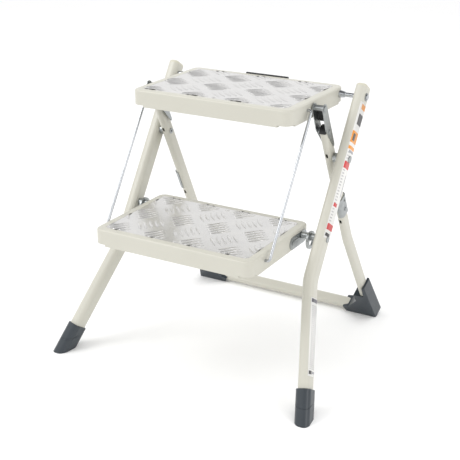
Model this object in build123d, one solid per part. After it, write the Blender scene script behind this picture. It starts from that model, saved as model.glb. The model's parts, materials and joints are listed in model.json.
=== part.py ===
from build123d import *

import math
import os

os.makedirs("parts", exist_ok=True)

# Folding two-step stool. Millimetres, +Z up, +Y to the rear, right is +X.
# The origin is on the floor, under the middle of the open stool.

# Step trays
step_width = 300.0
step_depth = 207.0
skirt_height = 29.0
sheet = 1.2
plan_corner = 14.0
rim_radius = 3.5
rim_width = 13.0
recess_depth = 1.6
hem_width = 8.0
hem_relief = 3.0
hem_stop_side = 22.0
hem_stop_end = 20.0
plate_gap = 0.3
plate_thickness = 1.5
tread_rivet_inset_x = 18.0
tread_rivet_inset_y = 19.0
rib_length = 262.0
rib_width = 34.0
rib_height = 12.0

# Step pivots, seen from the side as (y, z)
pivot_drop = 12.1
top_pivot_y = 95.75
top_pivot_z = 457.3
step_rise = 211.7
top_rear_overhang = 16.0
lower_rear_overhang = 31.7
link_spacing = 128.0
crossing_height = 363.7

# Front legs
lean_slope = 0.655
leg_x = 188.5
leg_width = 20.0
leg_depth = 30.0
leg_round = 8.0
leg_wall = 1.5
leg_top_reach = 15.0
leg_bend_z = 184.9
leg_flare = 0.241
leg_bend_radius = 70.0
leg_end_z = 17.0
foot_wall = 3.0
foot_top_z = 40.0
foot_rim = 1.3
groove_z = 23.5
groove_width = 1.0
groove_depth = 0.6
cap_height = 5.5
cap_plug = 12.0

# Rear frame
rear_slope = 0.494
rear_x = 164.0
rear_thickness = 13.0
rear_depth = 24.0
rear_wall = 1.2
rear_bend_z = 186.7
rear_flare = 0.0905
rear_bend_radius = 160.0
rear_corner_radius = 27.0
crossbar_z = 12.5
boot_half_depth = 15.0
boot_edge = 2.5
slot_length = 9.0
slot_width = 4.5
upper_slot_v = -11.0
lower_slot_z = 232.5
clip_middle_z = 261.0
clip_length = 40.0
clip_wall = 2.2

# Pins, rod, wire links and lock links
rod_radius = 4.0
pin_radius = 4.0
running_gap = 0.06
side_gap = 0.3
wire_radius = 2.4
wire_x = 157.8
wire_bend = 4.5
wire_inner_x = 143.5
channel_wall = 1.3
channel_inner_gap = 3.6
channel_half_width = 8.0
channel_web_foot = 16.0
liner_foot = 19.5
liner_thickness = 1.6
knee_collar_radius = 6.5
step_fold = 45.0
pivot_plate_length = 62.0
pivot_plate_height = 22.0
pivot_plate_forward = 11.0
pivot_plate_drop = 5.0
stop_ring_x = 166.2
stop_ring_radius = 15.5
stop_ring_drop = 6.0

# Angles of the two frames from the vertical
lean = math.atan(lean_slope)
rear_lean = math.atan(rear_slope)
leg_flare_angle = math.atan(leg_flare)

# Pivot points in the side view
A = Vector(0, top_pivot_y, top_pivot_z)
B = Vector(0, A.Y - lean_slope * step_rise, A.Z - step_rise)
C = Vector(0, A.Y - link_spacing, A.Z)
D = Vector(0, B.Y - link_spacing, B.Z)
P = Vector(0, A.Y - lean_slope * (A.Z - crossing_height), crossing_height)
lock_top = Vector(0, P.Y - rear_slope * (A.Z - P.Z), A.Z)

# The knee of the lock link: straight when open, and in line with A and the
# lock pin when the step has turned by step_fold.
fold = math.radians(180.0 + step_fold)
lock_radius = A.Y - lock_top.Y
lock_reach = (lock_top - P).length
from_crossing = A - P
along_step = from_crossing.Y * math.cos(fold) + from_crossing.Z * math.sin(fold)
link_length = (
    lock_reach**2
    - lock_radius**2
    - from_crossing.length**2
    - 2 * lock_radius * along_step
) / (2 * (lock_reach - lock_radius - along_step))
Q = P + (lock_top - P) * ((lock_reach - link_length) / lock_reach)

# Working planes: x across the stool, y down along each frame
front_plane = Plane(
    origin=A, x_dir=(1, 0, 0), z_dir=(0, math.cos(lean), -math.sin(lean))
)
rear_plane = Plane(
    origin=P, x_dir=(1, 0, 0), z_dir=(0, math.cos(rear_lean), math.sin(rear_lean))
)


def down_front(z):
    """Distance from the top pivot down the leaning front plane to height z."""
    return (A.Z - z) / math.cos(lean)


def down_rear(z):
    """Distance from the crossing down the rear plane to height z."""
    return (P.Z - z) / math.cos(rear_lean)


def write(node, shape):
    """Writes one node to its own STEP file."""
    shape.label = node
    export_step(shape, f"parts/{node}.step")


def write_pair(node, shape):
    """Writes a right-hand piece and its mirror image on the left."""
    write(f"right_{node}", shape)
    write(f"left_{node}", mirror(shape, about=Plane.YZ))


def x_rod(radius, start, end, at):
    """A round bar along X between two x values, on the axis through at."""
    return Pos((start + end) / 2, at.Y, at.Z) * Rot(0, 90, 0) * Cylinder(radius, end - start)


def x_head(radius, start, end, at, outward=True):
    """A round head on an X axis, with its free rim rounded."""
    head = x_rod(radius, start, end, at)
    rims = head.faces().sort_by(Axis.X)[-1 if outward else 0].edges()
    return fillet(rims, 0.45 * (end - start))


def slot_section(plane, depth, thickness):
    """A flat-oval section with its long side square to the frame's plane."""
    return plane * Rot(0, 0, 90) * SlotOverall(depth, thickness)


floor_cut = Pos(0, 0, -200) * Box(1000, 1000, 400)


# Front legs: one rounded rectangular tube a side, flared out below the bend

def front_run(start_z):
    """Centre line of a front leg in its plane, from above the pivot down."""
    bend = down_front(leg_bend_z)
    end = down_front(start_z)
    return FilletPolyline(
        (leg_x, -leg_top_reach),
        (leg_x, bend),
        (leg_x + leg_flare * (end - bend), end),
        radius=leg_bend_radius,
    )


def front_section(run, inset):
    """The leg's section at the top of its run, smaller all round by inset."""
    start = Plane(origin=run @ 0, x_dir=(1, 0, 0), z_dir=(0, 1, 0))
    return start * RectangleRounded(
        leg_width - 2 * inset, leg_depth - 2 * inset, leg_round - inset
    )


def leg_holes(extra):
    """The three cross holes of a front leg."""
    span = (leg_x - leg_width, leg_x + leg_width)
    holes = x_rod(rod_radius + extra, *span, A)
    holes += x_rod(pin_radius + extra, *span, P)
    holes += x_rod(pin_radius + extra, *span, B)
    return holes


run = front_run(leg_end_z)
leg_body = front_plane * sweep(front_section(run, 0), path=run)
leg_bore = front_plane * sweep(front_section(run, leg_wall), path=run)
write_pair("front_leg", leg_body - leg_bore - leg_holes(running_gap))

# Rounded cap pressed into the top of each leg
cap_plane = Plane(origin=(leg_x, -leg_top_reach, 0), x_dir=(1, 0, 0), z_dir=(0, -1, 0))
cap_head = extrude(
    cap_plane * RectangleRounded(leg_width, leg_depth, leg_round), cap_height
)
cap_head = fillet(cap_head.faces().sort_by(Axis.Y)[0].edges(), 0.85 * cap_height)
cap_stem = extrude(
    cap_plane
    * RectangleRounded(
        leg_width - 2 * leg_wall - 0.2, leg_depth - 2 * leg_wall - 0.2, leg_round - leg_wall
    ),
    -cap_plug,
)
cap_clear = x_rod(rod_radius + 1, leg_x - leg_width, leg_x + leg_width, A)
write_pair("leg_cap", front_plane * (cap_head + cap_stem) - cap_clear)

# Boot on the bottom of each front leg, cut level by the floor
low_dir = Vector(math.sin(leg_flare_angle), math.cos(leg_flare_angle), 0)
side_dir = Vector(math.cos(leg_flare_angle), -math.sin(leg_flare_angle), 0)
bend_v = down_front(leg_bend_z)
boot_v = down_front(foot_top_z)
boot_origin = Vector(leg_x + leg_flare * (boot_v - bend_v), boot_v, 0)
boot_plane = Plane(origin=boot_origin, x_dir=side_dir, z_dir=low_dir)
boot_block = extrude(
    boot_plane
    * RectangleRounded(
        leg_width + 2 * foot_wall, leg_depth + 2 * foot_wall, leg_round + foot_wall
    ),
    100,
)
boot_block = fillet(boot_block.faces().sort_by(Axis.Y)[0].edges(), foot_rim)
boot_core = extrude(
    boot_plane
    * RectangleRounded(
        leg_width + 2 * (foot_wall - groove_depth),
        leg_depth + 2 * (foot_wall - groove_depth),
        leg_round + foot_wall - groove_depth,
    ),
    100,
)
groove_y = A.Y - lean_slope * (A.Z - groove_z)
groove_slab = Pos(0, groove_y - 200, groove_z) * Box(800, 400, groove_width)
groove = front_plane * (boot_block - boot_core) & groove_slab
front_foot = front_plane * boot_block - leg_body - floor_cut - groove
write_pair("front_foot", front_foot)


# Rear frame: one flat-oval tube bent into a U, with its crossbar near the floor

knee_v = -(Q - P).length
rear_bend_v = down_rear(rear_bend_z)
crossbar_v = down_rear(crossbar_z)
corner_x = rear_x + rear_flare * (crossbar_v - rear_bend_v)
rear_top_v = knee_v - 3.0
rear_run = FilletPolyline(
    (rear_x, rear_top_v),
    (rear_x, rear_bend_v),
    (corner_x, crossbar_v),
    (-corner_x, crossbar_v),
    (-rear_x, rear_bend_v),
    (-rear_x, rear_top_v),
    radius=(rear_bend_radius, rear_corner_radius, rear_corner_radius, rear_bend_radius),
)
rear_start = Plane(origin=rear_run @ 0, x_dir=(1, 0, 0), z_dir=(0, 1, 0))
rear_body = sweep(slot_section(rear_start, rear_depth, rear_thickness), path=rear_run)
rear_bore = sweep(
    slot_section(rear_start, rear_depth - 2 * rear_wall, rear_thickness - 2 * rear_wall),
    path=rear_run,
)
rear_tube = rear_plane * (rear_body - rear_bore)
for side in (1, -1):
    start = side * rear_x - rear_thickness
    end = side * rear_x + rear_thickness
    rear_tube -= x_rod(pin_radius + running_gap, start, end, P)
    rear_tube -= x_rod(pin_radius, start, end, Q)
    for slot_v in (upper_slot_v, down_rear(lower_slot_z)):
        slot = extrude(
            Pos(side * rear_x, slot_v, -rear_depth / 2 - 2)
            * Rot(0, 0, 90)
            * SlotOverall(slot_length, slot_width),
            2 + 2 * rear_wall,
        )
        rear_tube -= rear_plane * slot
write("rear_u_tube", rear_tube)

# Boot on each lower corner of the rear frame: a block with a notched top edge,
# cut off square to the frame, so it stands on its front lower edge

def boot_face_v(z):
    """Distance down the rear plane to height z on the boot's front face."""
    return (P.Z - boot_half_depth * math.sin(rear_lean) - z) / math.cos(rear_lean)


boot_points = (
    (131.7, 10), (139.4, -2), (199.4, -2), (186, 70), (181.2, 70),
    (181.2, 48), (161, 48.5), (164, 33.4), (144, 12.3),
)
boot_outline = Polyline(*[(x, boot_face_v(z)) for x, z in boot_points], close=True)
rear_boot = extrude(make_face(boot_outline), boot_half_depth, both=True)
outer_middle = (192.7, boot_face_v(34))
outer_edges = [
    rear_boot.edges().sort_by_distance((*outer_middle, side * boot_half_depth))[0]
    for side in (1, -1)
]
rear_boot = fillet(outer_edges, boot_edge)
write_pair("rear_foot", rear_plane * (rear_boot - rear_body) - floor_cut)

# Round-nosed plug in each open top end of the rear tube
plug_plane = Plane(
    origin=Q, x_dir=(0, math.cos(rear_lean), math.sin(rear_lean)), z_dir=(1, 0, 0)
)
nose = Circle(rear_depth / 2 - 0.2) - Pos(0, -20 + 3.05) * Rectangle(60, 40)
plug_nose = extrude(plug_plane * nose, rear_thickness / 2 - 0.8, both=True)
stem_width = rear_depth - 2 * rear_wall - 6
stem = Pos(0, -8) * Rectangle(stem_width, 24)
plug_stem = extrude(plug_plane * stem, rear_thickness / 2 - rear_wall - 1.4, both=True)
plug = Pos(rear_x, 0, 0) * (plug_nose + plug_stem)
write_pair("tube_plug", plug - x_rod(pin_radius, 100, 200, Q))

# Zinc saddle clip riveted on the outer side of each rear leg
clip_v = down_rear(clip_middle_z)
clip_plane = Plane(origin=(rear_x, clip_v, 0), x_dir=(1, 0, 0), z_dir=(0, 1, 0))
clip_ring = slot_section(
    clip_plane, rear_depth + 2 * clip_wall, rear_thickness + 2 * clip_wall
) - slot_section(clip_plane, rear_depth, rear_thickness)
clip = extrude(clip_ring, clip_length / 2, both=True)
clip &= Pos(rear_x + 9.5, clip_v, 0) * Box(20, 60, 60)
clip_point = rear_plane.from_local_coords(Vector(rear_x, clip_v + 8, 0))
clip_hole_point = rear_plane.from_local_coords(Vector(rear_x, clip_v - 11, 2))
clip_outer = rear_x + rear_thickness / 2 + clip_wall
clip = rear_plane * clip
clip -= x_rod(2.0, rear_x, rear_x + 20, clip_point)
clip -= x_rod(2.2, rear_x, rear_x + 20, clip_hole_point)
write_pair("leg_clip", clip)
clip_rivet = x_rod(2.0, clip_outer - clip_wall, clip_outer, clip_point)
clip_rivet += x_head(3.4, clip_outer, clip_outer + 1.3, clip_point)
write_pair("clip_rivet", clip_rivet)


# Step trays: pressed sheet with a turned skirt, hemmed between the corners

def step_tray(rear_y, top_z, cross_holes):
    """A tray with its rear edge at rear_y and its rim at top_z."""
    outer = extrude(RectangleRounded(step_width, step_depth, plan_corner), -skirt_height)
    outer = fillet(outer.faces().sort_by(Axis.Z)[-1].edges(), rim_radius)
    inner = extrude(
        Pos(0, 0, -sheet)
        * RectangleRounded(
            step_width - 2 * sheet, step_depth - 2 * sheet, plan_corner - sheet
        ),
        -skirt_height,
    )
    inner = fillet(inner.faces().sort_by(Axis.Z)[-1].edges(), rim_radius - sheet)
    well = (step_width - 2 * rim_width, step_depth - 2 * rim_width)
    recess = extrude(RectangleRounded(*well, 8), -recess_depth)
    floor_pan = extrude(
        RectangleRounded(well[0] + 2 * sheet, well[1] + 2 * sheet, 8 + sheet),
        -recess_depth - sheet,
    )
    tray = outer - (inner - floor_pan) - recess
    half_w, half_d = step_width / 2, step_depth / 2
    hem_z = -skirt_height + sheet / 2
    for side in (1, -1):
        tray += Pos(0, side * (half_d - hem_width / 2 - 0.6), hem_z) * Box(
            step_width - 2 * hem_stop_side, hem_width, sheet
        )
        tray += Pos(side * (half_w - hem_width / 2 - 0.6), 0, hem_z) * Box(
            hem_width, step_depth - 2 * hem_stop_end, sheet
        )
        for end in (1, -1):
            tray -= Pos(
                side * half_w, end * half_d, -skirt_height + hem_relief / 2
            ) * Box(2 * hem_stop_side, 2 * hem_stop_end, hem_relief)
    for place in tread_rivet_places():
        tray -= Pos(*place, -recess_depth) * Cylinder(2.0, 4 * sheet)
    tray = Pos(0, rear_y - half_d, top_z) * tray
    for radius, at in cross_holes:
        for side in (1, -1):
            tray -= x_rod(radius, side * half_w - 5, side * half_w + 5, at)
    return tray


def tread_rivet_places():
    """The six rivets of a tread plate: its corners and mid front and rear."""
    x = step_width / 2 - tread_rivet_inset_x
    y = step_depth / 2 - tread_rivet_inset_y
    return [(across, along) for across in (-x, 0, x) for along in (-y, y)]


def tread_plate(rear_y, top_z):
    """The aluminium tread that lies in the recess of a tray."""
    width = step_width - 2 * rim_width - 2 * plate_gap
    depth = step_depth - 2 * rim_width - 2 * plate_gap
    plate = extrude(RectangleRounded(width, depth, 8 - plate_gap), plate_thickness)
    for place in tread_rivet_places():
        plate -= Pos(*place, 0) * Cylinder(2.0, 6 * sheet)
    return Pos(0, rear_y - step_depth / 2, top_z - recess_depth) * plate


def tread_rivets(rear_y, top_z):
    """Domed rivets that hold the tread to its tray."""
    rivets = []
    plate_top = top_z - recess_depth + plate_thickness
    for x, y in tread_rivet_places():
        head = Pos(0, 0, 0.6) * Cylinder(3.6, 1.2)
        head = fillet(head.faces().sort_by(Axis.Z)[-1].edges(), 0.9)
        shank_length = plate_thickness + sheet
        rivet = head + Pos(0, 0, -shank_length / 2) * Cylinder(2.0, shank_length)
        rivets.append(Pos(x, rear_y - step_depth / 2 + y, plate_top) * rivet)
    return Compound(children=rivets)


def step_rib(rear_y, top_z):
    """Channel spot-welded across the underside of a tray."""
    under = top_z - recess_depth - sheet
    rib = Box(rib_length, rib_width, rib_height)
    rib -= Pos(0, 0, sheet) * Box(rib_length, rib_width - 2 * sheet, rib_height)
    return Pos(0, rear_y - step_depth / 2, under - rib_height / 2) * rib


wire_hole = wire_radius + running_gap
bush_bore_radius = 6.2
top_rear = A.Y + top_rear_overhang
top_z = A.Z + pivot_drop
lower_rear = B.Y + lower_rear_overhang
lower_z = B.Z + pivot_drop

write("top_step_tray", step_tray(top_rear, top_z, [(bush_bore_radius, A), (wire_hole, C)]))
write(
    "lower_step_tray",
    step_tray(lower_rear, lower_z, [(pin_radius + running_gap, B), (wire_hole, D)]),
)
for name, rear_y, z in (("top", top_rear, top_z), ("lower", lower_rear, lower_z)):
    write(f"{name}_tread_plate", tread_plate(rear_y, z))
    write(f"{name}_tread_rivets", tread_rivets(rear_y, z))
    write(f"{name}_step_rib", step_rib(rear_y, z))

# Grip strip hooked over the middle of the top step's rear edge
grip_length = 84.0
grip_section = Pos(0, top_rear + 0.2, top_z - 8.0) * Box(grip_length, 5.2, 20.0)
grip_section = fillet(grip_section.edges().filter_by(Axis.X), 1.8)
tray_block = Pos(0, top_rear - step_depth / 2, top_z) * extrude(
    RectangleRounded(step_width, step_depth, plan_corner), -skirt_height
)
tray_block = fillet(tray_block.faces().sort_by(Axis.Z)[-1].edges(), rim_radius)
write("rear_hand_grip", grip_section - tray_block)

# Zinc plate under each pivot of the lower step
half_width = step_width / 2
plate_centre = Plane(
    origin=(half_width, B.Y - pivot_plate_forward, B.Z - pivot_plate_drop),
    x_dir=(0, 1, 0),
    z_dir=(1, 0, 0),
)
pivot_plate = extrude(plate_centre * SlotOverall(pivot_plate_length, pivot_plate_height), sheet)
raised = plate_centre * SlotOverall(pivot_plate_length - 14, pivot_plate_height - 14)
pivot_plate += extrude(raised, 1.8 * sheet)
pivot_plate -= x_rod(pin_radius + running_gap, half_width - 1, half_width + 5, B)
write_pair("pivot_plate", pivot_plate)


# Fasteners of the front frame

leg_inner = leg_x - leg_width / 2
leg_outer = leg_x + leg_width / 2
rear_inner = rear_x - rear_thickness / 2
rear_outer = rear_x + rear_thickness / 2

# Rod through both legs and the rear of the top step, peened over washers
washer = 1.2
top_rod = x_rod(rod_radius, -leg_outer - washer, leg_outer + washer, A)
top_rod += x_head(5.0, leg_outer + washer, leg_outer + washer + 1.8, A)
top_rod += x_head(5.0, -leg_outer - washer - 1.8, -leg_outer - washer, A, outward=False)
write("top_pivot_rod", top_rod)
rod_washer = x_rod(7.0, leg_outer, leg_outer + washer, A) - x_rod(
    rod_radius, leg_outer - 1, leg_outer + washer + 1, A
)
write("rod_washers", Compound(children=[rod_washer, mirror(rod_washer, about=Plane.YZ)]))

# Flared bush pressed into each side of the top step
bush = x_rod(bush_bore_radius, half_width - sheet - 1.5, half_width, A)
flare = Pos(half_width, A.Y, A.Z) * Rot(0, 90, 0) * Pos(0, 0, 4.5) * Cone(6.8, 5.4, 9.0)
bush += flare
bush -= x_rod(rod_radius + running_gap, half_width - 10, half_width + 12, A)
write_pair("rod_bush", bush)

# Crossing pin with its spacer between the rear leg and the front leg
crossing_pin = x_rod(pin_radius, rear_inner - side_gap, leg_outer, P)
crossing_pin += x_head(5.2, rear_inner - side_gap - 1.1, rear_inner - side_gap, P, outward=False)
crossing_pin += x_head(6.2, leg_outer, leg_outer + 2.0, P)
crossing_pin -= x_rod(2.0, rear_inner - 3, rear_inner + 6, P)
write_pair("crossing_pin", crossing_pin)
spacer = x_rod(8.0, rear_outer + side_gap, leg_inner, P)
spacer -= x_rod(pin_radius, rear_outer - 1, leg_inner + 1, P)
write_pair("crossing_spacer", spacer)

# Lower pivot pin, its two sleeves and the stop ring that hangs on it
ring_thickness = 3.0
ring_start = stop_ring_x
ring_end = stop_ring_x + ring_thickness
sleeve_start = half_width + 1.8 * sheet + side_gap
step_pin = x_rod(pin_radius, half_width - sheet - side_gap, leg_outer, B)
step_pin += x_head(
    6.0, half_width - sheet - side_gap - 2.0, half_width - sheet - side_gap, B, outward=False
)
step_pin += x_head(5.0, leg_outer, leg_outer + 1.6, B)
write_pair("step_pin", step_pin)
sleeves = []
for start, end in ((sleeve_start, ring_start), (ring_end, leg_inner)):
    sleeve = x_rod(6.0, start, end, B) - x_rod(pin_radius, start - 1, end + 1, B)
    sleeves.append(sleeve)
write_pair("pin_sleeves", Compound(children=sleeves))
ring_centre = B - Vector(0, 0, stop_ring_drop)
ring_window = ring_centre - Vector(0, 0, 3.4)
stop_ring = x_rod(stop_ring_radius, ring_start, ring_end, ring_centre)
stop_ring -= x_rod(7.0, ring_start - 1, ring_end + 1, ring_window)
stop_ring += x_rod(7.5, ring_start, ring_end, B)
stop_ring -= x_rod(pin_radius, ring_start - 1, ring_end + 1, B)
write_pair("stop_ring", stop_ring)


# Lock links: a channel open to the front on the top of each rear leg

cheek_inner = rear_inner - channel_inner_gap - channel_wall
cheek_outer = rear_outer + side_gap + channel_wall
hollow_inner = cheek_inner + channel_wall
hollow_outer = cheek_outer - channel_wall
web_start = channel_half_width - channel_wall
cheek_outline = Polyline(
    (-channel_half_width, link_length), (channel_half_width, link_length),
    (channel_half_width, -30), (6.5, -35), (4, -34), (-10.5, 10),
    close=True,
)
cheek = make_face(cheek_outline) + Pos(0, link_length) * Circle(channel_half_width)
web_length = link_length - channel_web_foot
web = Pos(web_start + channel_wall / 2, channel_web_foot + web_length / 2) * Rectangle(
    channel_wall, web_length
)


def link_slice(outline, start, end):
    """A flat outline in the lock link's plane, made solid from x start to x end."""
    return Pos(start, 0, 0) * extrude(plug_plane * outline, end - start)


channel = link_slice(cheek, cheek_inner, hollow_inner)
channel += link_slice(cheek, hollow_outer, cheek_outer)
channel += link_slice(web, cheek_inner, cheek_outer)
channel -= x_rod(pin_radius, cheek_inner - 1, cheek_outer + 1, lock_top)
channel -= x_rod(pin_radius + running_gap, cheek_inner - 1, cheek_outer + 1, Q)
write_pair("lock_channel", channel)

# Dark buffer strip on the channel's web, above the knee
liner_length = link_length - liner_foot
liner = Pos(web_start - liner_thickness / 2, liner_foot + liner_length / 2) * Rectangle(
    liner_thickness, liner_length
)
write_pair("channel_liner", link_slice(liner, hollow_inner, hollow_outer))

lock_pin = x_rod(pin_radius, half_width + side_gap, cheek_outer, lock_top)
lock_pin += x_head(5.6, cheek_outer, cheek_outer + 1.8, lock_top)
write_pair("lock_pin", lock_pin)

knee_rivet = x_rod(pin_radius, cheek_inner, cheek_outer, Q)
knee_rivet += x_rod(knee_collar_radius, hollow_inner + side_gap, rear_inner, Q)
knee_rivet += x_head(4.8, cheek_outer, cheek_outer + 1.2, Q)
write_pair("knee_rivet", knee_rivet)


# Wire links between the fronts of the two steps, with a push-on cap on each end

wire_run = FilletPolyline(
    Vector(wire_inner_x, C.Y, C.Z),
    Vector(wire_x, C.Y, C.Z),
    Vector(wire_x, D.Y, D.Z),
    Vector(wire_inner_x, D.Y, D.Z),
    radius=wire_bend,
)
wire_start = Plane(origin=wire_run @ 0, z_dir=(1, 0, 0))
write_pair("link_rod", sweep(wire_start * Circle(wire_radius), path=wire_run))
clips = []
for end in (C, D):
    start = half_width - sheet - side_gap - 2.0
    cap = x_rod(5.0, start, start + 2.0, end)
    clips.append(cap - x_rod(wire_radius, start - 1, start + 3, end))
write_pair("link_clips", Compound(children=clips))
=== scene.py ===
# %% [markdown]
# # A folding two-step stool
#
# The stool is painted steel tube and pressed steel trays, with aluminium treads, plated
# links and rubber feet. Its shapes come packed as CAD nodes. This notebook gives each of
# them its finish, and adds what the eye looks for next: the raised bars of the treads and
# the printed strips on the right leg.

import json
import math

import bmesh
import bpy
import numpy as np
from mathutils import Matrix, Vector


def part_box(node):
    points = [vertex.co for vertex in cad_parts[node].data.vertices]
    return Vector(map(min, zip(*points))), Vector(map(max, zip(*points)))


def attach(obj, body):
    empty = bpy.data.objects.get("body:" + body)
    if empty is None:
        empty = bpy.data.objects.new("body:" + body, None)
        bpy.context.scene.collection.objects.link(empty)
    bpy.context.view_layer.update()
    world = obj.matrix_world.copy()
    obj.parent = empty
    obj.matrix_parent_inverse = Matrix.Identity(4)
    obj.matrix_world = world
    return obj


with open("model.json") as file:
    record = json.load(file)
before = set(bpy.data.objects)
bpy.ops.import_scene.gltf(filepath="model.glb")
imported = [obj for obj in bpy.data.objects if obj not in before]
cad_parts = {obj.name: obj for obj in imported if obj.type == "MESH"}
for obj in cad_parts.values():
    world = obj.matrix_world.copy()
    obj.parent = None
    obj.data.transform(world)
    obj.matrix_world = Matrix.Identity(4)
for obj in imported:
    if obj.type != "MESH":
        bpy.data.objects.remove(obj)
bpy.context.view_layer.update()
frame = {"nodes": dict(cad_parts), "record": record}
nodes = frame["nodes"]

# %% [markdown]
# ## The camera
#
# A product picture of a stool is taken from a little above and from a few metres away, so
# that its lines stay nearly parallel. A long lens far back does that. The camera looks at a
# point just under the top step, and its place is given as an angle round the stool, an
# angle above the floor and a distance.

# %% Camera
camera_round = math.radians(29.981)
camera_above = math.radians(21.39)
camera_away = 1.84375
camera_lens_mm = 78.34
look_at = np.array([-0.030333, 0.031188, 0.193286])

towards_camera = np.array(
    [
        math.sin(camera_round) * math.cos(camera_above),
        -math.cos(camera_round) * math.cos(camera_above),
        math.sin(camera_above),
    ]
)
camera_data = bpy.data.cameras.new("camera")
camera_data.sensor_width = 36.0
camera_data.lens = camera_lens_mm
camera = bpy.data.objects.new("camera", camera_data)
camera.location = look_at + towards_camera * camera_away
camera.rotation_euler = (math.pi / 2 - camera_above, 0.0, camera_round)
bpy.context.scene.collection.objects.link(camera)
bpy.context.scene.camera = camera
print("camera at", tuple(round(v, 3) for v in camera.location))

# %% [markdown]
# ## Floor and light
#
# Powder coat and satin metal look right only when there is something soft and large to
# reflect. A pale dome lights the stool from everywhere, a wide lamp from the upper left
# shapes the tubes, and a weaker one from the right keeps the shadows open.

# %% Helpers for meshes
def grid_faces(rows, columns, wrap):
    """Quads of a grid with its points in row order; wrap joins the last column to the first."""
    row, column = np.meshgrid(
        np.arange(rows - 1), np.arange(columns if wrap else columns - 1), indexing="ij"
    )
    following = (column + 1) % columns
    corners = [
        row * columns + column,
        row * columns + following,
        (row + 1) * columns + following,
        (row + 1) * columns + column,
    ]
    return np.stack(corners, axis=-1).reshape(-1, 4)


def make_piece(name, points, faces):
    """A mesh object from an array of points and an array of faces."""
    mesh = bpy.data.meshes.new(name)
    mesh.from_pydata(points.reshape(-1, 3), [], faces.tolist())
    mesh.validate()
    mesh.update()
    piece = bpy.data.objects.new(name, mesh)
    bpy.context.scene.collection.objects.link(piece)
    return piece


def level_square(name, half, height):
    """A level square for the studio, from -half to half along X and Y."""
    side = np.array([-half, half])
    x, y = np.meshgrid(side, side)
    points = np.stack([x, y, np.full_like(x, height)], axis=-1)
    square = make_piece(name, points, grid_faces(2, 2, False))
    return square


# %% Floor
floor_half = 12.0
floor_height = -0.0004
floor = level_square("pale_floor", floor_half, floor_height)
print("floor", 2.0 * floor_half, "m wide")

# %% [markdown]
# Satin metal in a room that is white all round looks like paper. A grey card overhead, which
# only mirror-like surfaces see, gives the sides of each raised bar something to show.

# %% Grey card overhead
overhead_half = 1.5
overhead_height = 2.4
overhead = level_square("grey_overhead_card", overhead_half, overhead_height)
overhead.visible_camera = False
overhead.visible_diffuse = False
overhead.visible_shadow = False
overhead.visible_transmission = False
print("overhead card at", overhead_height, "m")

# %% Lights
dome_strength = 0.97
lamp_target = np.array([0.0, 0.0, 0.25])

world = bpy.data.worlds.new("studio")
world.use_nodes = True
dome = world.node_tree.nodes["Background"]
dome.inputs["Color"].default_value = (1.0, 1.0, 1.0, 1.0)
dome.inputs["Strength"].default_value = dome_strength
bpy.context.scene.world = world
bpy.context.scene.view_settings.view_transform = "Standard"


def soft_lamp(name, place, watts, size):
    """A square area lamp that faces the middle of the stool."""
    data = bpy.data.lights.new(name, "AREA")
    data.shape = "SQUARE"
    data.size = size
    data.energy = watts
    lamp = bpy.data.objects.new(name, data)
    lamp.location = place
    away = np.array(place) - lamp_target
    flat = math.hypot(away[0], away[1])
    lamp.rotation_euler = (math.atan2(flat, away[2]), 0.0, math.atan2(away[0], -away[1]))
    bpy.context.scene.collection.objects.link(lamp)
    return lamp


soft_lamp("key_lamp", (-1.7, -1.5, 2.3), 26.0, 1.4)
soft_lamp("fill_lamp", (2.4, -0.6, 1.2), 7.0, 1.2)
top_lamp = soft_lamp("top_lamp", (0.3, 0.5, 2.8), 10.0, 1.6)
top_lamp.visible_glossy = False
print("lamps:", len(bpy.data.lights))

# %% [markdown]
# ## Writing finishes as sums
#
# A finish is a graph of nodes, and most of that graph is plain arithmetic. Wrapping a socket
# in a small class lets Python's own operators add the Math nodes, so that a finish reads like
# the sum it is.

# %% Shader arithmetic
class Signal:
    """One output socket of a finish, which takes part in Python arithmetic."""

    def __init__(self, finish, socket):
        self.finish = finish
        self.socket = socket

    def _math(self, operation, *values):
        return self.finish.add("ShaderNodeMath", {"operation": operation}, values)

    def __add__(self, other):
        return self._math("ADD", self, other)

    def __rsub__(self, other):
        return self._math("SUBTRACT", other, self)

    def __mul__(self, other):
        return self._math("MULTIPLY", self, other)

    __radd__ = __add__
    __rmul__ = __mul__

    def above(self, edge):
        """1 where the signal is greater than edge, else 0."""
        return self._math("GREATER_THAN", self, edge)


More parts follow.
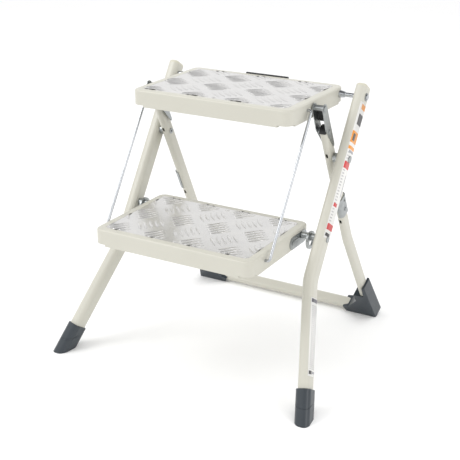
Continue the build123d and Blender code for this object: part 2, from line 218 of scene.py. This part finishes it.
class Finish:
    """A material round one Principled shader."""

    def __init__(self, name, **uniform):
        self.material = bpy.data.materials.new(name)
        self.material.use_nodes = True
        self.tree = self.material.node_tree
        self.shader = self.tree.nodes["Principled BSDF"]
        for socket, value in uniform.items():
            self.shader.inputs[socket.replace("_", " ").title()].default_value = value

    def add(self, kind, settings=None, inputs=(), output=0):
        """Adds a node: its type, its settings, and the values or links of its sockets."""
        node = self.tree.nodes.new(kind)
        for name, value in (settings or {}).items():
            setattr(node, name, value)
        pairs = inputs.items() if isinstance(inputs, dict) else enumerate(inputs)
        for socket, value in pairs:
            if isinstance(value, Signal):
                self.tree.links.new(value.socket, node.inputs[socket])
            else:
                node.inputs[socket].default_value = value
        return Signal(self, node.outputs[output])

    def place(self):
        """Object coordinates, in metres."""
        return self.add("ShaderNodeTexCoord", output="Object")

    def noise(self, scale, detail=2.0, stretch=(1.0, 1.0, 1.0)):
        """Noise from 0 to 1, with scale counted per metre."""
        where = self.add(
            "ShaderNodeMapping", None, {"Vector": self.place(), "Scale": stretch}
        )
        return self.add(
            "ShaderNodeTexNoise", None, {"Vector": where, "Scale": scale, "Detail": detail}
        )

    def blend(self, share, first, second):
        """A colour between first and second."""
        return self.add(
            "ShaderNodeMix",
            {"data_type": "RGBA"},
            {0: share, 6: first, 7: second},
            output=2,
        )

    def bump(self, height, distance, strength=1.0):
        """Tilts the surface by a height signal; distance is its full depth in metres."""
        normal = self.add(
            "ShaderNodeBump", None, {"Height": height, "Distance": distance, "Strength": strength}
        )
        self.feed("Normal", normal)

    def feed(self, socket, signal):
        """Links a signal to a socket of the shader."""
        self.tree.links.new(signal.socket, self.shader.inputs[socket])


def tone(red, green, blue):
    """A linear colour from the 0 to 255 values of a paint chart."""
    chart = np.array([red, green, blue]) / 255.0
    linear = np.where(chart > 0.04045, ((chart + 0.055) / 1.055) ** 2.4, chart / 12.92)
    return (*linear.tolist(), 1.0)


# %% [markdown]
# ## Cream powder coat
#
# Powder coat is sprayed as dust and baked. It flows into a skin with a very fine orange
# peel, half-gloss, with slow changes of tone where the coat is thicker. Bare steel never
# shows here, so the wear is only a slightly duller patch in places.

# %% Cream paint
paint = Finish("cream_powder_coat", Coat_Weight=0.25, Coat_Roughness=0.18)
paint_cloud = paint.noise(9.0)
paint_peel = paint.noise(900.0, 1.0)
paint.feed("Base Color", paint.blend(paint_cloud, tone(202, 200, 189), tone(195, 193, 181)))
paint.feed("Roughness", 0.36 + 0.1 * paint.noise(40.0))
paint.bump(paint_peel, 0.00006)

cap_plastic = Finish("cream_moulded_plastic")
cap_cloud = cap_plastic.noise(60.0)
cap_plastic.feed(
    "Base Color", cap_plastic.blend(cap_cloud, tone(206, 203, 187), tone(199, 196, 179))
)
cap_plastic.feed("Roughness", 0.3 + 0.1 * cap_cloud)
cap_plastic.bump(cap_plastic.noise(1600.0, 1.0), 0.00003)

# %% [markdown]
# ## Tread aluminium
#
# The treads are rolled aluminium sheet. Rolling leaves fine lines along one direction and a
# satin surface, brighter on top of the raised bars where shoes and polishing rub them.

# %% Tread finish
tread_metal = Finish("satin_tread_aluminium", Metallic=0.85)
rolled = tread_metal.noise(700.0, 2.0, (0.05, 1.0, 1.0))
tread_cloud = tread_metal.noise(30.0)
tread_metal.feed(
    "Base Color", tread_metal.blend(tread_cloud, tone(232, 231, 229), tone(220, 219, 219))
)
tread_metal.feed("Roughness", 0.2 + 0.1 * rolled)
tread_metal.bump(rolled, 0.00003)

# %% [markdown]
# ## Plated steel
#
# Two platings are used. The pressed plates are zinc, blue-grey with a cloudy grain. The rod
# and the wires are drawn and polished, so they are brighter, with faint lines along them.

# %% Zinc and bright plating
zinc = Finish("zinc_plate", Metallic=1.0)
zinc_cloud = zinc.noise(120.0, 4.0)
zinc.feed("Base Color", zinc.blend(zinc_cloud, tone(184, 187, 186), tone(146, 150, 152)))
zinc.feed("Roughness", 0.26 + 0.2 * zinc_cloud)
zinc.bump(zinc.noise(700.0, 2.0), 0.00004)

bright = Finish("bright_plated_steel", Metallic=1.0)
bright_cloud = bright.noise(25.0, 1.0)
bright.feed("Base Color", bright.blend(bright_cloud, tone(204, 206, 209), tone(170, 173, 177)))
bright.feed("Roughness", 0.2 + 0.06 * bright_cloud)
bright.bump(bright.noise(300.0, 1.0), 0.000004)

# %% [markdown]
# ## Rubber and dark plastic
#
# The feet are moulded in a slate blue-grey rubber. It is matt with a soft sheen, and its
# mould was spark-eroded, which leaves an even fine grain.

# %% Slate rubber and dark plastic
slate = Finish("slate_rubber", Coat_Weight=0.25, Coat_Roughness=0.25)
slate_cloud = slate.noise(45.0, 3.0)
slate.feed("Base Color", slate.blend(slate_cloud, tone(48, 56, 63), tone(38, 46, 53)))
slate.feed("Roughness", 0.26 + 0.12 * slate_cloud)
slate.bump(slate.noise(1300.0, 2.0), 0.00009)

dark = Finish("dark_moulded_plastic")
dark_cloud = dark.noise(90.0, 3.0)
dark.feed("Base Color", dark.blend(dark_cloud, tone(34, 35, 37), tone(24, 25, 27)))
dark.feed("Roughness", 0.38 + 0.18 * dark_cloud)
dark.bump(dark.noise(1500.0, 1.0), 0.00005)

# %% Give every CAD node its finish
finish_of_slot = {
    "cream_paint": paint,
    "cream_cap": cap_plastic,
    "tread_aluminium": tread_metal,
    "zinc_steel": zinc,
    "bright_steel": bright,
    "slate_rubber": slate,
    "dark_plastic": dark,
}
for part in frame["record"]["subparts"]:
    mesh = nodes[part["node"]].data
    mesh.materials.clear()
    mesh.materials.append(finish_of_slot[part["material_slot"]].material)
print("finishes:", sorted(finish_of_slot))

# %% [markdown]
# ## Raised bars of the treads
#
# Tread plate is rolled between a smooth roll and an engraved one, which raises groups of
# leaf-shaped bars. Five bars lie side by side in a group, and the groups alternate in
# direction like a basket weave. Each bar could be drawn in a bump map, but its rim catches
# the light and its shadow, so it is made as a shape. Where the sheet is sheared to size, the
# bars on its edge are cut too.

# %% Tread bars
bar_length = 0.040
bar_width = 0.0062
bar_height = 0.0013
bar_step = 0.0098
bars_in_group = 5
edge_margin = 0.0006
bar_sink = 0.00005
groups_each_way = 4
least_share_kept = 0.3
merge_distance = 1e-7


def leaf(rings, around):
    """One bar along X: half width w(u) = W(1 - u^2), half height the same shape, u from -1 to 1.

    The cross-section is an ellipse, and both ends close to a point.
    """
    u = np.linspace(-1.0, 1.0, rings)[:, None]
    turn = np.linspace(0.0, 2.0 * math.pi, around, endpoint=False)[None, :]
    swell = 1.0 - u**2
    x = u * bar_length / 2.0 + 0.0 * turn
    y = swell * np.cos(turn) * bar_width / 2.0
    z = np.sqrt(swell) * np.sin(turn) * bar_height
    return np.stack([x, y, z], axis=-1)


def tread_bars(name, plate, body, spacing, along_centre, across_centre):
    """All bars of one tread. Groups of each direction lie on a grid with the given spacing."""
    low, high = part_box(plate)
    centre = (np.array(low) + np.array(high)) / 2.0
    rings, around = 9, 8
    shape = leaf(rings, around)
    tilt = math.atan2(spacing[1], spacing[0])
    in_group = (np.arange(bars_in_group) - (bars_in_group - 1) / 2.0) * bar_step
    steps = np.arange(-groups_each_way, groups_each_way + 1)
    step_x, step_y, place = np.meshgrid(steps, steps, in_group, indexing="ij")
    bars = []
    for angle, offset in ((-tilt, along_centre), (tilt, across_centre)):
        side = -np.sign(angle)
        x = offset[0] + step_x * spacing[0] + place * math.cos(tilt)
        y = offset[1] + step_y * spacing[1] + place * math.sin(tilt) * side
        turned_x = shape[..., 0] * math.cos(angle) - shape[..., 1] * math.sin(angle)
        turned_y = shape[..., 0] * math.sin(angle) + shape[..., 1] * math.cos(angle)
        bars.append(
            np.stack(
                [
                    x.reshape(-1, 1, 1) + turned_x,
                    y.reshape(-1, 1, 1) + turned_y,
                    shape[..., 2] + np.zeros((x.size, 1, 1)),
                ],
                axis=-1,
            )
        )
    points = np.concatenate(bars)
    half = (np.array(high) - np.array(low))[:2] / 2.0 - edge_margin
    inside = (np.abs(points[..., :2]) < half).all(axis=-1)
    points = points[inside.mean(axis=(1, 2)) > least_share_kept]
    points[..., :2] = np.clip(points[..., :2], -half, half)
    points += np.array([centre[0], centre[1], high[2] - bar_sink])
    faces = grid_faces(rings, around, True)
    offsets = np.arange(len(points))[:, None, None] * rings * around
    piece = make_piece(name, points, (faces[None] + offsets).reshape(-1, 4))
    close_points(piece)
    piece.data.materials.append(tread_metal.material)
    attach(piece, body)
    print(name, len(points), "bars")
    return piece


def close_points(piece):
    """Merges points that lie together, which closes poles, and shades the piece smooth."""
    work = bmesh.new()
    work.from_mesh(piece.data)
    bmesh.ops.remove_doubles(work, verts=work.verts, dist=merge_distance)
    bmesh.ops.dissolve_degenerate(work, edges=work.edges, dist=merge_distance)
    bmesh.ops.recalc_face_normals(work, faces=work.faces)
    work.to_mesh(piece.data)
    work.free()
    piece.data.shade_smooth()


# The two treads are cut from the same sheet, the top one turned by a quarter.
long_pitch, short_pitch = 0.0835, 0.0715
tread_bars(
    "lower_tread_bars", "lower_tread_plate", "lower_step",
    (short_pitch, long_pitch), (-0.0053, 0.0430), (0.0304, 0.0012),
)
tread_bars(
    "top_tread_bars", "top_tread_plate", "top_step",
    (long_pitch, short_pitch), (0.0070, 0.0200), (0.0488, 0.0558),
)

# %% [markdown]
# ## Printed strips on the right leg
#
# The real stool carries use and load notes on two vinyl strips. Here they are plain strips
# with blocks of colour and no lettering. A strip follows the outer face of the tube and
# bends a little round its corners, so it is made from the tube's own section, a hair
# larger, carried down the leg.

# %% Strips
leg_half_width = 0.010
leg_half_depth = 0.015
leg_corner = 0.008
strip_lift = 0.0001
strip_thickness = 0.00012
upper_strip_below_rod = 0.012
upper_strip_length = 0.240
upper_strip_half_width = 0.0138
lower_strip_below_bend = 0.030
lower_strip_length = 0.128
lower_strip_half_width = 0.0135


def strip(name, start, down, outward, across, length, half_width, finish):
    """A strip on the leg's outer face.

    Across it, the path is flat to the tube's corner and then turns with the corner's radius.
    Along it, the path is straight.
    """
    rows, columns = 2, 21
    reach = np.linspace(-half_width, half_width, columns)
    flat = leg_half_depth - leg_corner
    turn = np.clip(np.abs(reach) - flat, 0.0, None) / leg_corner
    radius = leg_corner + strip_lift
    out = leg_half_width - leg_corner + radius * np.cos(turn)
    side = np.sign(reach) * (np.minimum(np.abs(reach), flat) + radius * np.sin(turn))
    along = np.linspace(0.0, length, rows)
    points = (
        start
        + along[:, None, None] * down
        + out[None, :, None] * outward
        + side[None, :, None] * across
    )
    piece = make_piece(name, points, grid_faces(rows, columns, False))
    uv = piece.data.uv_layers.new(name="strip")
    index = np.empty(len(piece.data.loops), int)
    piece.data.loops.foreach_get("vertex_index", index)
    grid_v, grid_u = np.divmod(index, columns)
    flat_uv = np.stack([grid_u / (columns - 1), grid_v / (rows - 1)], axis=-1)
    uv.data.foreach_set("uv", flat_uv.astype(np.float32).ravel())
    close_points(piece)
    wall = piece.modifiers.new("vinyl", "SOLIDIFY")
    wall.thickness = strip_thickness
    wall.offset = 1.0
    piece.data.materials.append(finish.material)
    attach(piece, "front_frame")
    print(name, "length", round(length, 3))
    return piece


def block(finish, u, v, box):
    """1 inside a rectangle of the strip, given as (left, right, top, bottom) shares."""
    left, right, top, bottom = box
    return u.above(left) * (1.0 - u.above(right)) * v.above(top) * (1.0 - v.above(bottom))


def printed(name, blocks, rows):
    """White vinyl with blocks of colour, and fine grey rows where rows gives their range."""
    finish = Finish(name, Coat_Weight=0.3, Coat_Roughness=0.15)
    where = finish.add("ShaderNodeUVMap", {"uv_map": "strip"})
    u = finish.add("ShaderNodeSeparateXYZ", None, [where], output="X")
    v = finish.add("ShaderNodeSeparateXYZ", None, [where], output="Y")
    colour = finish.blend(finish.noise(300.0), tone(235, 234, 231), tone(228, 227, 223))
    if rows:
        count, strength, box = rows
        wave = finish.add("ShaderNodeMath", {"operation": "SINE"}, [v * (count * 2 * math.pi)])
        ragged = finish.noise(900.0, 1.0).above(0.42)
        mask = wave.above(0.1) * ragged * block(finish, u, v, box) * strength
        colour = finish.blend(mask, colour, tone(120, 120, 126))
    for box, paint_tone in blocks:
        colour = finish.blend(block(finish, u, v, box), colour, paint_tone)
    finish.feed("Base Color", colour)
    finish.feed("Roughness", 0.3 + 0.1 * finish.noise(120.0))
    finish.bump(finish.noise(800.0, 1.0), 0.00003)
    return finish


orange, black, red = tone(235, 150, 40), tone(52, 50, 52), tone(206, 62, 62)
grey = tone(150, 150, 156)
pivot_low, pivot_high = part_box("top_pivot_rod")
rod_axis = (np.array(pivot_low) + np.array(pivot_high)) / 2.0
leg_x = 0.1885
leg_bend_height = 0.1849
leg_lean = math.atan(0.655)
leg_flare = math.atan(0.241)
leg_bend_down = (rod_axis[2] - leg_bend_height) / math.cos(leg_lean)
lean_down = np.array([0.0, -math.sin(leg_lean), -math.cos(leg_lean)])
lean_across = np.array([0.0, math.cos(leg_lean), -math.sin(leg_lean)])
side_out = np.array([1.0, 0.0, 0.0])
leg_top = rod_axis + side_out * leg_x
leg_bend = leg_top + lean_down * leg_bend_down
flare_down = math.sin(leg_flare) * side_out + math.cos(leg_flare) * lean_down
flare_out = math.cos(leg_flare) * side_out - math.sin(leg_flare) * lean_down

upper_print = printed(
    "upper_strip_print",
    [
        ((0.20, 0.90, 0.010, 0.050), orange),
        ((0.16, 0.80, 0.085, 0.165), black),
        ((0.02, 0.98, 0.215, 0.300), orange),
        ((0.14, 0.46, 0.232, 0.285), black),
        ((0.02, 0.95, 0.325, 0.350), orange),
        ((0.14, 0.80, 0.355, 0.372), grey),
        ((0.04, 0.72, 0.440, 0.490), red),
        ((0.62, 0.70, 0.530, 0.690), grey),
        ((0.08, 0.50, 0.745, 0.772), red),
        ((0.04, 0.82, 0.895, 0.940), red),
        ((0.06, 0.60, 0.962, 0.985), black),
    ],
    (46, 0.55, (0.08, 0.30, 0.36, 0.90)),
)
lower_print = printed(
    "lower_strip_print",
    [
        ((0.06, 0.94, 0.012, 0.060), tone(84, 82, 92)),
        ((0.06, 0.40, 0.930, 0.975), black),
        ((0.46, 0.90, 0.935, 0.965), grey),
    ],
    (40, 0.7, (0.10, 0.90, 0.09, 0.91)),
)
strip(
    "upper_leg_strip", leg_top + lean_down * upper_strip_below_rod,
    lean_down, side_out, lean_across,
    upper_strip_length, upper_strip_half_width, upper_print,
)
strip(
    "lower_leg_strip", leg_bend + flare_down * lower_strip_below_bend,
    flare_down, flare_out, lean_across,
    lower_strip_length, lower_strip_half_width, lower_print,
)

# %% [markdown]
# ## The floor's finish and the last lines
#
# The floor is a plain pale card, a little uneven so that it isn't a dead flat tone.

# %% Floor finish and overhead card finish
card = Finish("pale_card", Roughness=0.9)
card.feed("Base Color", card.blend(card.noise(3.0), tone(255, 255, 255), tone(253, 253, 253)))
floor.data.materials.append(card.material)

grey_card = Finish("grey_card", Roughness=0.9)
grey_card.feed(
    "Base Color", grey_card.blend(grey_card.noise(3.0), tone(112, 112, 114), tone(102, 102, 104))
)
overhead.data.materials.append(grey_card.material)
